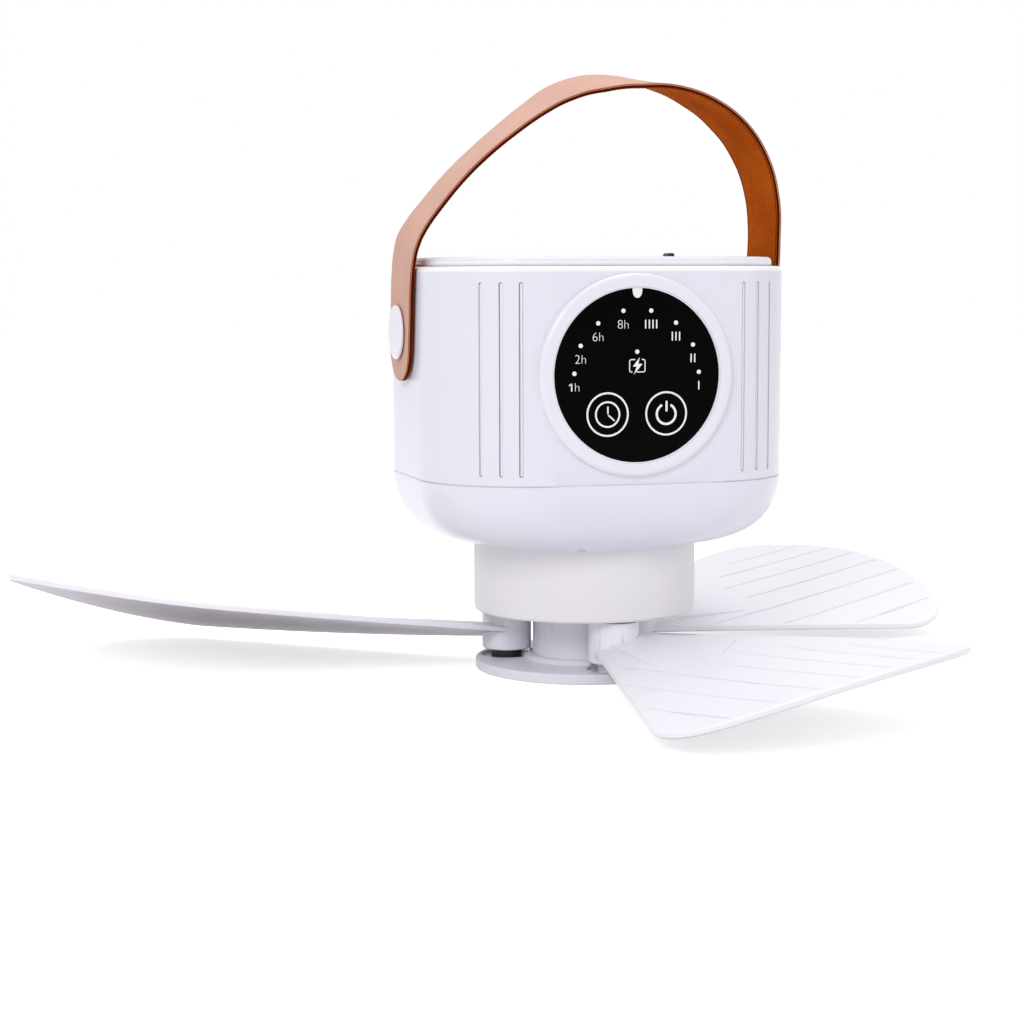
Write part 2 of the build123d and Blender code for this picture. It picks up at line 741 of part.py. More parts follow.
def camber_band(name, top, thickness):
    """Cross-section of the cambered sheet, in the plane across the blade."""
    left, right = -62.0, 76.0
    left_z, right_z = top + camber(name, left), top + camber(name, right)
    ThreePointArc((left, left_z), (0, top), (right, right_z))
    Line((right, right_z), (right, right_z - thickness))
    ThreePointArc((right, right_z - thickness), (0, top - thickness), (left, left_z - thickness))
    Line((left, left_z - thickness), (left, left_z))


blades = {}
for name in blade_names:
    tip_points = (trailing_corner[name], (blade_length[name], blade_tip_t[name]), leading_corner[name])
    rib_stretch = blade_length[name] / blade_length["short"]

    with BuildPart() as rib_cutter:
        with BuildLine():
            skin_path = blade_path(name, 0)
        with BuildSketch(Plane.YZ.offset(blade_start_s)):
            with BuildLine():
                camber_band(name, blade_root_z + rib_depth, 2 * rib_depth)
            make_face()
        sweep(path=skin_path)
        with BuildLine(mode=Mode.PRIVATE):
            tip_arc = ThreePointArc(*tip_points)
        tip_centre = tip_arc.arc_center
        rib_reach = tip_arc.radius - rib_end_margin
        slope = radians(rib_angle)
        with BuildSketch(Plane.XY.offset(-20)):
            for rib in range(rib_count):
                offset_t = rib_middle_offset + rib_spacing * (rib - rib_count // 2) / cos(slope)
                rise = offset_t - 85.0 * sin(slope) / cos(slope)
                # the rib's straight line meets the circle that lies rib_end_margin inside the tip
                gap = (sin(slope) * tip_centre.X - cos(slope) * (tip_centre.Y - rise))
                along = sqrt(rib_reach**2 - gap**2)
                foot_s = tip_centre.X - gap * sin(slope)
                end_s = foot_s + along * cos(slope)
                start_s = rib_start[rib] * rib_stretch
                middle = ((start_s + end_s) / 2, rise + (start_s + end_s) / 2 * sin(slope) / cos(slope))
                with Locations(Location((*middle, 0), (0, 0, rib_angle))):
                    SlotOverall((end_s - start_s) / cos(slope), rib_width)
        extrude(amount=70, mode=Mode.INTERSECT)

    with BuildPart() as blade_pad:
        with BuildLine():
            pad_path = blade_path(name, pad_rise)
        with BuildSketch(Plane.YZ.offset(blade_start_s)):
            with BuildLine():
                camber_band(name, blade_root_z + pad_rise, pad_rise + 0.4)
            make_face()
        sweep(path=pad_path)
        with BuildSketch(Plane.XY.offset(-20)) as pad_plan:
            with BuildLine():
                Polyline(*pad_corners, close=True)
            make_face()
            fillet(pad_plan.vertices().sort_by(Axis.Y)[0], pad_corner_radius)
        extrude(amount=70, mode=Mode.INTERSECT)

    with BuildPart() as blade:
        with BuildLine():
            top_path = blade_path(name, 0)
        with BuildSketch(Plane.YZ.offset(blade_start_s)):
            with BuildLine():
                camber_band(name, blade_root_z, blade_thickness)
            make_face()
        sweep(path=top_path)
        # plan of the paddle: straight trailing edge, bowed tip, bowed leading edge
        with BuildSketch(Plane.XY.offset(-20)) as planform:
            with BuildLine():
                Line((-1.0, -7.5), trailing_corner[name])
                ThreePointArc(*tip_points)
                ThreePointArc(leading_corner[name], leading_bow[name], leading_heel)
                Line(leading_heel, (9.5, 16.5))
                Line((9.5, 16.5), (-4.0, 7.0))
                Line((-4.0, 7.0), (-1.0, -7.5))
            make_face()
            corners = planform.vertices()
            fillet(corners.sort_by_distance(trailing_corner[name])[0], trailing_corner_radius[name])
            corners = planform.vertices()
            fillet(corners.sort_by_distance(leading_corner[name])[0], leading_corner_radius[name])
        extrude(amount=70, mode=Mode.INTERSECT)
        fillet(blade.edges().filter_by(lambda edge: abs(edge.tangent_at(0.5).Z) < 0.9), blade_edge_radius)
        # fine parallel grooves along the top
        add(rib_cutter.part, mode=Mode.SUBTRACT)
        # raised root that carries the boss
        add(blade_pad.part)
        with BuildSketch(Plane.XY.offset(boss_bottom_z)):
            Circle(boss_radius)
        extrude(amount=boss_top_z - boss_bottom_z)
        fillet(
            blade.edges().filter_by(GeomType.CIRCLE).filter_by_position(Axis.Z, boss_bottom_z, boss_bottom_z),
            boss_edge_radius,
        )
        with BuildSketch(Plane.XY.offset(boss_bottom_z)):
            Circle(pin_radius + running_gap)
        extrude(amount=boss_top_z - boss_bottom_z, mode=Mode.SUBTRACT)
    blades[name] = blade.part


def blade_place(number):
    """Where blade number stands on the hub, with its fold."""
    x, y = pin_places[number]
    return Location((x, y, 0), (0, 0, pin_angles[number] + blade_rest_folds[number]))


with BuildPart() as blade_1:
    with Locations(blade_place(0)):
        add(blades["long"])
blade_1.part.label = "blade_1"

with BuildPart() as blade_2:
    with Locations(blade_place(1)):
        add(blades["short"])
blade_2.part.label = "blade_2"

with BuildPart() as blade_3:
    with Locations(blade_place(2)):
        add(blades["short"])
blade_3.part.label = "blade_3"

# ---------------------------------------------------------------- strap handle
strap_outer_x = half_width + strap_side_gap + strap_lining_thickness + strap_outer_thickness
# outer face of the arch as fractions of the half span, with heights; the left shoulder is the fuller one
strap_arch = (
    (-0.990, 148.5), (-0.968, 154.8), (-0.922, 161.0), (-0.848, 167.5), (-0.722, 176.9), (-0.597, 185.2),
    (-0.473, 192.8), (-0.337, 199.6), (-0.184, 205.9), (-0.009, 210.8), (0.186, 211.6), (0.385, 209.7),
    (0.584, 205.0), (0.755, 196.3), (0.887, 184.6), (0.974, 171.1), (1.006, 156.5),
)
leg_bottom = strap_pivot_z - strap_tail
leg_heights = [leg_bottom, leg_bottom + 12, leg_bottom + 24, leg_bottom + 35]
strap_hinge = Axis((0, 0, strap_pivot_z), (1, 0, 0))
hole_radius = cap_sleeve_radius + running_gap

with BuildLine() as strap_line:
    left_leg = [(-strap_outer_x, height) for height in leg_heights]
    arch = [(part * strap_outer_x, height) for part, height in strap_arch]
    right_leg = [(strap_outer_x, height) for height in reversed(leg_heights)]
    outer_arch = Spline(*left_leg, *arch, *right_leg)
arch_steps = 60


def under_arch(depth):
    """Points that follow the strap's outer face at a depth below it."""
    points = []
    for step in range(arch_steps + 1):
        along = outer_arch.tangent_at(step / arch_steps)
        spot = outer_arch.position_at(step / arch_steps)
        points.append((spot.X + depth * along.Y, spot.Y - depth * along.X))
    return points


outer_points = under_arch(0)
glue_points = under_arch(strap_outer_thickness)
lining_points = under_arch(strap_outer_thickness + strap_lining_thickness)

with BuildPart() as upright_outer:
    with BuildSketch(Plane.XZ):
        with BuildLine():
            Spline(*outer_points)
            Spline(*glue_points)
            Line(outer_points[0], glue_points[0])
            Line(outer_points[-1], glue_points[-1])
        make_face()
    extrude(amount=strap_width / 2, both=True)
    fillet(upright_outer.edges().filter_by(Axis.X).group_by(Axis.Z)[0], strap_end_radius)
    with BuildSketch(Plane.YZ.offset(-body_width)):
        with Locations((0, strap_pivot_z)):
            Circle(hole_radius)
    extrude(amount=2 * body_width, mode=Mode.SUBTRACT)

with BuildPart() as upright_lining:
    with BuildSketch(Plane.XZ):
        with BuildLine():
            Spline(*lining_points)
            Spline(*glue_points)
            Line(lining_points[0], glue_points[0])
            Line(lining_points[-1], glue_points[-1])
        make_face()
    extrude(amount=strap_width / 2, both=True)
    fillet(upright_lining.edges().filter_by(Axis.X).group_by(Axis.Z)[0], strap_end_radius)
    with BuildSketch(Plane.YZ.offset(-body_width)):
        with Locations((0, strap_pivot_z)):
            Circle(hole_radius)
    extrude(amount=2 * body_width, mode=Mode.SUBTRACT)

# the whole strap rests a little forward of upright
with BuildPart() as strap_outer:
    add(upright_outer.part.rotate(strap_hinge, strap_lean))
strap_outer.part.label = "strap_outer"

with BuildPart() as strap_lining:
    add(upright_lining.part.rotate(strap_hinge, strap_lean))
strap_lining.part.label = "strap_lining"

with BuildPart() as cap_right:
    cap_x = strap_outer_x + strap_cap_gap
    with BuildSketch(Plane.YZ.offset(cap_x)):
        with Locations((0, strap_pivot_z)):
            Circle(cap_radius)
    extrude(amount=cap_thickness)
    fillet(cap_right.edges().sort_by(Axis.X)[-1], cap_edge_radius)
    with BuildSketch(Plane.YZ.offset(half_width)):
        with Locations((0, strap_pivot_z)):
            Circle(cap_sleeve_radius)
    extrude(amount=cap_x - half_width)
    with BuildSketch(Plane.YZ.offset(half_width)):
        with Locations((0, strap_pivot_z)):
            Circle(cap_stud_radius)
    extrude(amount=-wall - nut_thickness - stud_end)
cap_right.part.label = "cap_right"

with BuildPart() as cap_left:
    mirror(cap_right.part, about=Plane.YZ)
cap_left.part.label = "cap_left"

with BuildPart() as strap_nuts:
    with BuildSketch(Plane.YZ.offset(half_width - wall - nut_thickness)):
        with Locations((0, strap_pivot_z)):
            RegularPolygon(nut_radius, 6)
            Circle(cap_stud_radius + press_gap, mode=Mode.SUBTRACT)
    extrude(amount=nut_thickness)
    mirror(about=Plane.YZ)
strap_nuts.part.label = "strap_nuts"

with BuildPart() as bracket_screws:
    with BuildSketch(Plane.XY.offset(bracket_z)):
        with PolarLocations(bracket_screw_circle, bracket_screw_count):
            Circle(screw_head_radius)
    extrude(amount=-screw_head_height)
    with BuildSketch(Plane.XY.offset(bracket_z)):
        with PolarLocations(bracket_screw_circle, bracket_screw_count):
            Circle(screw_radius)
    extrude(amount=collar_top_z + bracket_screw_bite - bracket_z)
bracket_screws.part.label = "bracket_screws"

# ---------------------------------------------------------------- files
pieces = (
    housing_shell, top_lid, bowl_cover, motor_collar, control_panel, receiver_lens, control_board,
    indicator_leds, touch_springs, battery_tray, battery_cells, main_board, charging_board,
    charging_socket, cap_left, cap_right, strap_nuts, bracket_screws, hook_pin, hanging_hook,
    strap_outer, strap_lining, motor_bracket, motor_bearings, motor_stator, motor_can,
    motor_magnets, motor_shaft, can_screws, hub_plate, hub_column, hub_disc, hub_screws,
    blade_pins, blade_spacers, blade_washers, blade_1, blade_2, blade_3,
)
os.makedirs("parts", exist_ok=True)
for piece in pieces:
    export_step(piece.part, f"parts/{piece.part.label}.step")
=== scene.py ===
import bpy
import json
from math import asin, cos, hypot, pi, radians, sin, tan
from mathutils import Matrix, Vector

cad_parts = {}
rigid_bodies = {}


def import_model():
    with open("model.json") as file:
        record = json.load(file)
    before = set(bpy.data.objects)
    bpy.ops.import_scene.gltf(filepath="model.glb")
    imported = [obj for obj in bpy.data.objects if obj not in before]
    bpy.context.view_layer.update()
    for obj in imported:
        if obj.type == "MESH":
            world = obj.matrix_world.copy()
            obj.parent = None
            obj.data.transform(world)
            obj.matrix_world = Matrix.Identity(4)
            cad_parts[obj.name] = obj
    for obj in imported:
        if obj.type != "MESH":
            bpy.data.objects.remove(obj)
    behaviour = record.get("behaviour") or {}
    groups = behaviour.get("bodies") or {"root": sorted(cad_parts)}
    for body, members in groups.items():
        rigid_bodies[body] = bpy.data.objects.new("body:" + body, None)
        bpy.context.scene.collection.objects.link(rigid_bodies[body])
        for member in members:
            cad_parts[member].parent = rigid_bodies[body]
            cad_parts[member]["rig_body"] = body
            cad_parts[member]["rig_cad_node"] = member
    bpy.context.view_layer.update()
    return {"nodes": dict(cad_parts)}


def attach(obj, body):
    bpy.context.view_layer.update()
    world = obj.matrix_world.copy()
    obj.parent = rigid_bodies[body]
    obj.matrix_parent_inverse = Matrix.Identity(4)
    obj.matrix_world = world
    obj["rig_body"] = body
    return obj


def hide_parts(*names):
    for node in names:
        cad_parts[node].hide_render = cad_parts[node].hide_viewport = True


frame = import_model()
mm = 0.001


# small helpers for selecting and finishing
def objectMode():
    bpy.ops.object.mode_set(mode="OBJECT")


def deselectAll():
    if bpy.context.mode != "OBJECT":
        objectMode()
    bpy.ops.object.select_all(action="DESELECT")


def activate(piece):
    deselectAll()
    piece.select_set(True)
    bpy.context.view_layer.objects.active = piece


def newest(name):
    piece = bpy.context.object
    piece.name = name
    piece.data.name = name
    return piece


def editMode(kind):
    bpy.ops.object.mode_set(mode="EDIT")
    bpy.ops.mesh.select_mode(type=kind)
    bpy.ops.mesh.select_all(action="DESELECT")


def selectMesh():
    bpy.ops.mesh.select_all(action="SELECT")


def pickVerts(piece, test):
    objectMode()
    for vert in piece.data.vertices:
        vert.select = test(vert.co)
    bpy.ops.object.mode_set(mode="EDIT")


def pickFaces(piece, test):
    objectMode()
    for face in piece.data.polygons:
        face.select = test(face)
    bpy.ops.object.mode_set(mode="EDIT")


def applyModifiers(piece):
    activate(piece)
    for modifier in list(piece.modifiers):
        bpy.ops.object.modifier_apply(modifier=modifier.name)


def applyPlace(piece):
    activate(piece)
    bpy.ops.object.transform_apply(location=True, rotation=True, scale=True)


def joinPieces(pieces, name):
    deselectAll()
    for piece in pieces:
        piece.select_set(True)
    bpy.context.view_layer.objects.active = pieces[0]
    bpy.ops.object.join()
    return newest(name)


def addBevel(piece, width, segments, angle):
    soft = piece.modifiers.new("soft", "BEVEL")
    soft.width = width * mm
    soft.segments = segments
    soft.limit_method = "ANGLE"
    soft.angle_limit = radians(angle)


def evenNormals(piece):
    # large flat faces keep their own normal, so the shading of the small ones doesn't spread
    weigh = piece.modifiers.new("evenNormals", "WEIGHTED_NORMAL")
    weigh.mode = "FACE_AREA_WITH_ANGLE"
    weigh.weight = 50
    weigh.keep_sharp = True
    applyModifiers(piece)


def finishPiece(piece, body, material, angle=32, even=False):
    activate(piece)
    if angle:
        bpy.ops.object.shade_smooth_by_angle(angle=radians(angle))
    if even:
        evenNormals(piece)
    if material:
        piece.data.materials.clear()
        piece.data.materials.append(material)
    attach(piece, body)


# materials
def startMaterial(name):
    material = bpy.data.materials.new(name)
    material.use_nodes = True
    tree = material.node_tree
    shader = tree.nodes["Principled BSDF"]
    return material, tree, shader


def addNode(tree, kind, **values):
    node = tree.nodes.new(kind)
    for key, value in values.items():
        setattr(node, key, value)
    return node


def addNoise(tree, place, scale, detail):
    noise = addNode(tree, "ShaderNodeTexNoise")
    noise.inputs["Scale"].default_value = scale
    noise.inputs["Detail"].default_value = detail
    tree.links.new(place.outputs["Object"], noise.inputs["Vector"])
    return noise.outputs["Fac"]


def addRange(tree, source, middle, spread, span):
    remap = addNode(tree, "ShaderNodeMapRange")
    remap.inputs["From Min"].default_value = span[0]
    remap.inputs["From Max"].default_value = span[1]
    remap.inputs["To Min"].default_value = middle - spread
    remap.inputs["To Max"].default_value = middle + spread
    tree.links.new(source, remap.inputs["Value"])
    return remap.outputs["Result"]


def addBump(tree, shader, height, strength, depth):
    bump = addNode(tree, "ShaderNodeBump")
    bump.inputs["Strength"].default_value = strength
    bump.inputs["Distance"].default_value = depth * mm
    tree.links.new(height, bump.inputs["Height"])
    tree.links.new(bump.outputs["Normal"], shader.inputs["Normal"])


plastic = {
    "cloudScale": 22,
    "cloudDetail": 4,
    "cloudSpan": (0.1, 0.9),
    "roughSpread": 0.015,
    "grainScale": 2600,
    "grainDetail": 2,
    "grainStrength": 0.25,
}


def moulded(name, color, roughness=0.34, grain=0.012, mottle=0.006, specular=0.5):
    material, tree, shader = startMaterial(name)
    link = tree.links.new
    place = addNode(tree, "ShaderNodeTexCoord")
    cloud = addNoise(tree, place, plastic["cloudScale"], plastic["cloudDetail"])
    tint = addNode(tree, "ShaderNodeMix", data_type="RGBA", blend_type="MULTIPLY")
    tint.inputs[0].default_value = 1.0
    tint.inputs[6].default_value = (*color, 1)
    link(addRange(tree, cloud, 1, mottle, plastic["cloudSpan"]), tint.inputs[7])
    link(tint.outputs[2], shader.inputs["Base Color"])
    rough = addRange(tree, cloud, roughness, plastic["roughSpread"], plastic["cloudSpan"])
    link(rough, shader.inputs["Roughness"])
    skin = addNoise(tree, place, plastic["grainScale"], plastic["grainDetail"])
    addBump(tree, shader, skin, plastic["grainStrength"], grain)
    shader.inputs["Specular IOR Level"].default_value = specular
    return material


metal = {"brushScale": 900, "brushDetail": 3, "brushSpan": (0, 1), "roughSpread": 0.08}


def plainMetal(name, color, roughness=0.3):
    material, tree, shader = startMaterial(name)
    place = addNode(tree, "ShaderNodeTexCoord")
    brush = addNoise(tree, place, metal["brushScale"], metal["brushDetail"])
    rough = addRange(tree, brush, roughness, metal["roughSpread"], metal["brushSpan"])
    tree.links.new(rough, shader.inputs["Roughness"])
    shader.inputs["Base Color"].default_value = (*color, 1)
    shader.inputs["Metallic"].default_value = 1.0
    return material


hide = {
    "cloudScale": 60,
    "cloudDetail": 5,
    "fibreScale": 1.7,
    "fibreDetail": 6,
    "fibreShare": 0.5,
    "cloudShare": 0.5,
    "darkEnd": 0.32,
    "lightEnd": 0.62,
    "poreHeight": 0.6,
    "bumpStrength": 0.5,
}


def leather(name, color, dark, scale, bumpDepth, roughness, specular):
    material, tree, shader = startMaterial(name)
    link = tree.links.new
    place = addNode(tree, "ShaderNodeTexCoord")
    cloud = addNoise(tree, place, hide["cloudScale"], hide["cloudDetail"])
    fibre = addNoise(tree, place, scale * hide["fibreScale"], hide["fibreDetail"])
    pores = addNode(tree, "ShaderNodeTexVoronoi", feature="F1")
    pores.inputs["Scale"].default_value = scale
    link(place.outputs["Object"], pores.inputs["Vector"])
    # light and dark by fibre and cloud together
    cloudPart = addNode(tree, "ShaderNodeMath", operation="MULTIPLY")
    cloudPart.inputs[1].default_value = hide["cloudShare"]
    link(cloud, cloudPart.inputs[0])
    blendTone = addNode(tree, "ShaderNodeMath", operation="MULTIPLY_ADD")
    blendTone.inputs[1].default_value = hide["fibreShare"]
    link(fibre, blendTone.inputs[0])
    link(cloudPart.outputs["Value"], blendTone.inputs[2])
    ramp = addNode(tree, "ShaderNodeValToRGB")
    darkEnd, lightEnd = ramp.color_ramp.elements
    darkEnd.position = hide["darkEnd"]
    darkEnd.color = (*dark, 1)
    lightEnd.position = hide["lightEnd"]
    lightEnd.color = (*color, 1)
    link(blendTone.outputs["Value"], ramp.inputs["Fac"])
    link(ramp.outputs["Color"], shader.inputs["Base Color"])
    # height by pores and fibre together
    height = addNode(tree, "ShaderNodeMath", operation="MULTIPLY_ADD")
    height.inputs[1].default_value = hide["poreHeight"]
    link(pores.outputs["Distance"], height.inputs[0])
    link(fibre, height.inputs[2])
    addBump(tree, shader, height.outputs["Value"], hide["bumpStrength"], bumpDepth)
    shader.inputs["Roughness"].default_value = roughness
    shader.inputs["Specular IOR Level"].default_value = specular
    return material


finish = {
    "shell": moulded("shellWhite", (0.765, 0.752, 0.845), roughness=0.28),
    # a lighter white for the shell's rounded rim and the lid's sides: a painted highlight
    "rimHighlight": moulded("rimPaintedHighlight", (0.90, 0.89, 0.93), roughness=0.24, grain=0.006),
    # a lighter white for the raised bezel round the panel: a painted highlight, while the lower roughness is
    # real gloss
    "ring": moulded("ringPaintedHighlight", (0.79, 0.78, 0.865), roughness=0.16, grain=0.004),
    "lid": moulded("lidWhite", (0.785, 0.775, 0.86), roughness=0.22, grain=0.006),
    "collar": moulded("collarWhite", (0.80, 0.775, 0.805), roughness=0.50),
    "hub": moulded("hubWhite", (0.80, 0.79, 0.86), roughness=0.38),
    "blade": moulded("bladeWhite", (0.84, 0.83, 0.885), roughness=0.40),
    # a darker white for the faces of the blades that point down: painted shade, while the higher roughness is
    # real
    "bladeUnderShade": moulded("bladeUndersidePaintedShade", (0.61, 0.56, 0.63), roughness=0.5),
    "cap": moulded("capWhite", (0.80, 0.79, 0.87), roughness=0.2, grain=0.004),
    "panel": moulded("panelBlack", (0.0006, 0.0005, 0.0008), roughness=0.12, grain=0.0,
                     mottle=0.0, specular=0.03),
    "marks": moulded("panelMarks", (0.86, 0.86, 0.88), roughness=0.5, grain=0.002),
    "lens": moulded("receiverWindow", (0.85, 0.84, 0.88), roughness=0.25, grain=0.004),
    "hook": moulded("hookBlack", (0.012, 0.012, 0.014), roughness=0.4, grain=0.02),
    "board": moulded("boardGreen", (0.015, 0.10, 0.04), roughness=0.3),
    "tray": moulded("trayGrey", (0.20, 0.20, 0.22), roughness=0.5),
    "cells": moulded("cellWrap", (0.10, 0.22, 0.45), roughness=0.3),
    "steel": plainMetal("plainSteel", (0.56, 0.56, 0.58)),
    "brass": plainMetal("plainBrass", (0.70, 0.50, 0.22)),
    "darkSteel": plainMetal("laminatedSteel", (0.22, 0.22, 0.23), roughness=0.5),
    "tan": leather("tanLeather", (0.670, 0.415, 0.335), (0.585, 0.345, 0.275),
                   scale=1300, bumpDepth=0.05, roughness=0.7, specular=0.1),
    "suede": leather("brownSuede", (0.50, 0.105, 0.006), (0.325, 0.052, 0.002),
                     scale=760, bumpDepth=0.12, roughness=0.95, specular=0.03),
    "edge": leather("cutEdge", (0.40, 0.13, 0.06), (0.28, 0.08, 0.035),
                    scale=1800, bumpDepth=0.04, roughness=0.9, specular=0.05),
    "liningEdge": leather("liningEdge", (0.075, 0.008, 0.003), (0.040, 0.004, 0.002),
                          scale=1800, bumpDepth=0.04, roughness=0.9, specular=0.02),
    "thread": leather("darkThread", (0.035, 0.005, 0.002), (0.02, 0.003, 0.001),
                      scale=3000, bumpDepth=0.03, roughness=0.9, specular=0.02),
}
print("materials ready")

# CAD nodes that keep their own mesh
carried = {
    "control_board": "board", "indicator_leds": "marks", "touch_springs": "steel",
    "battery_tray": "tray", "battery_cells": "cells", "main_board": "board", "charging_board": "board",
    "charging_socket": "steel", "strap_nuts": "brass", "bracket_screws": "steel", "hook_pin": "steel",
    "motor_bracket": "steel", "motor_bearings": "brass", "motor_stator": "darkSteel", "motor_can": "steel",
    "motor_magnets": "darkSteel", "motor_shaft": "steel", "can_screws": "steel", "hub_screws": "steel",
    "blade_pins": "steel", "blade_washers": "hub",
}
for nodeName, finishName in carried.items():
    frame["nodes"][nodeName].data.materials.clear()
    frame["nodes"][nodeName].data.materials.append(finish[finishName])

# visible plastic parts: the CAD surface, welded and smoothed
smoothing = {
    "weld": 0.002,
    "flatWithin": 0.5,
    "anyShape": 180,
    "sharp": 32,
    "bladeSharp": 22,
    "bowlSharp": 16,
}


def smoothedNode(nodeName, pieceName, body, material, angle):
    deselectAll()
    source = frame["nodes"][nodeName]
    piece = source.copy()
    piece.data = source.data.copy()
    piece.parent = None
    piece.matrix_world = Matrix.Identity(4)
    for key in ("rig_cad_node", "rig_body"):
        if key in piece:
            del piece[key]
    bpy.context.scene.collection.objects.link(piece)
    activate(piece)
    piece.name = pieceName
    piece.data.name = pieceName
    bpy.ops.object.mode_set(mode="EDIT")
    selectMesh()
    bpy.ops.mesh.remove_doubles(threshold=smoothing["weld"] * mm)
    bpy.ops.mesh.tris_convert_to_quads(face_threshold=radians(smoothing["flatWithin"]),
                                       shape_threshold=radians(smoothing["anyShape"]))
    objectMode()
    finishPiece(piece, body, material, angle, even=True)
    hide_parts(nodeName)
    return piece


# for each node: its new piece, body, finish and slot, and the angle above which its edges stay sharp
smoothed = {
    "housing_shell": ("shell", "housing", "shell", "shell_white", "sharp"),
    "top_lid": ("lid", "housing", "lid", "shell_white", "sharp"),
    "bowl_cover": ("bowl", "housing", "shell", "shell_white", "bowlSharp"),
    "motor_collar": ("collar", "housing", "collar", "collar_white", "sharp"),
    "control_panel": ("panel", "housing", "panel", "panel_black", "sharp"),
    "hub_plate": ("hubPlate", "rotor", "hub", "hub_white", "sharp"),
    "hub_column": ("hubColumn", "rotor", "hub", "hub_white", "sharp"),
    "hub_disc": ("hubDisc", "rotor", "hub", "hub_white", "sharp"),
    "blade_spacers": ("bladeSpacers", "rotor", "hub", "hub_white", "sharp"),
    "blade_1": ("leftBlade", "blade_1", "blade", "blade_white", "bladeSharp"),
    "blade_2": ("frontBlade", "blade_2", "blade", "blade_white", "bladeSharp"),
    "blade_3": ("rightBlade", "blade_3", "blade", "blade_white", "bladeSharp"),
    "hanging_hook": ("foldingHook", "hook", "hook", "hook_black", "sharp"),
}
plasticPieces = {}
for nodeName, (pieceName, bodyName, finishName, slotName, angleName) in smoothed.items():
    plasticPieces[nodeName] = smoothedNode(nodeName, pieceName, bodyName, finish[finishName],
                                           smoothing[angleName])


def secondFinish(nodeName, finishName, test):
    piece = plasticPieces[nodeName]
    piece.data.materials.append(finish[finishName])
    index = len(piece.data.materials) - 1
    for face in piece.data.polygons:
        if test(face):
            face.material_index = index


# painted highlights on the rounded rim, the lid's sides and the panel ring; painted shade as one black spacer
# and on the blades' undersides, which are also matt
housing = {
    "rimFoot": 142.95,
    "lidShoulder": 146.5,
    "uprightBelow": 0.3,
    "panelHeight": 108.25,
    "ringRadius": 34.25,
    "ringFoot": -56.2,
    "paintedShadeSpacerX": -15,
    "undersideBelow": -0.6,
}


def isRim(face):
    return face.center.z > housing["rimFoot"] * mm


def isPanelRing(face):
    fromPanel = hypot(face.center.x, face.center.z - housing["panelHeight"] * mm)
    return face.center.y < housing["ringFoot"] * mm and fromPanel < housing["ringRadius"] * mm


def isLidSide(face):
    return abs(face.normal.z) < housing["uprightBelow"] and face.center.z < housing["lidShoulder"] * mm


# painted highlight: the shell's rounded rim takes the lighter rim finish
secondFinish("housing_shell", "rimHighlight", isRim)
# painted highlight: the raised bezel round the panel takes the lighter ring finish
secondFinish("housing_shell", "ring", isPanelRing)
# painted highlight: the lid's upright sides take the lighter rim finish
secondFinish("top_lid", "rimHighlight", isLidSide)
# painted shade: the spacer under the left blade takes the black hook finish, standing for the shadow in the
# pocket under its boss
secondFinish("blade_spacers", "hook", lambda face: face.center.x < housing["paintedShadeSpacerX"] * mm)
# painted shade: the faces of the blades that point down take the darker underside finish
for nodeName in ("blade_1", "blade_2", "blade_3"):
    secondFinish(nodeName, "bladeUnderShade", lambda face: face.normal.z < housing["undersideBelow"])
print("plastic parts ready")

# the wall keeps the shading of an uncut body, so the cuts in it don't disturb it
wall = {
    "width": 131.2,
    "depth": 112.1,
    "corner": 38.7,
    "bottom": 71.9,
    "top": 142.85,
    "ringRadius": 34.4,
    "onSurface": 0.03,
    "segments": 48,
    "sharp": 30,
}
deselectAll()
bpy.ops.mesh.primitive_plane_add(size=1, location=(0, 0, wall["bottom"] * mm))
uncut = newest("uncutBody")
uncut.scale = (wall["width"] * mm, wall["depth"] * mm, 1)
applyPlace(uncut)
editMode("VERT")
selectMesh()
bpy.ops.mesh.bevel(offset=wall["corner"] * mm, segments=wall["segments"], affect="VERTICES")
selectMesh()
wallRise = (0, 0, (wall["top"] - wall["bottom"]) * mm)
bpy.ops.mesh.extrude_region_move(TRANSFORM_OT_translate={"value": wallRise})
selectMesh()
bpy.ops.mesh.normals_make_consistent(inside=False)
objectMode()
bpy.ops.object.shade_smooth_by_angle(angle=radians(wall["sharp"]))


def onWall(spot):
    x, y, z = spot / mm
    acrossX = max(abs(x) - wall["width"] / 2 + wall["corner"], 0)
    acrossY = max(abs(y) - wall["depth"] / 2 + wall["corner"], 0)
    onOutline = abs(hypot(acrossX, acrossY) - wall["corner"]) < wall["onSurface"]
    clearOfRing = y > 0 or hypot(x, z - housing["panelHeight"]) > wall["ringRadius"]
    return onOutline and wall["bottom"] < z < wall["top"] and clearOfRing


whiteShell = plasticPieces["housing_shell"]
wallGroup = whiteShell.vertex_groups.new(name="wall")
wallGroup.add([vert.index for vert in whiteShell.data.vertices if onWall(vert.co)], 1.0, "REPLACE")
borrow = whiteShell.modifiers.new("uncutShading", "DATA_TRANSFER")
borrow.object = uncut
borrow.use_loop_data = True
borrow.data_types_loops = {"CUSTOM_NORMAL"}
borrow.loop_mapping = "POLYINTERP_NEAREST"
borrow.vertex_group = "wall"
applyModifiers(whiteShell)
whiteShell.vertex_groups.clear()
bpy.data.objects.remove(uncut)

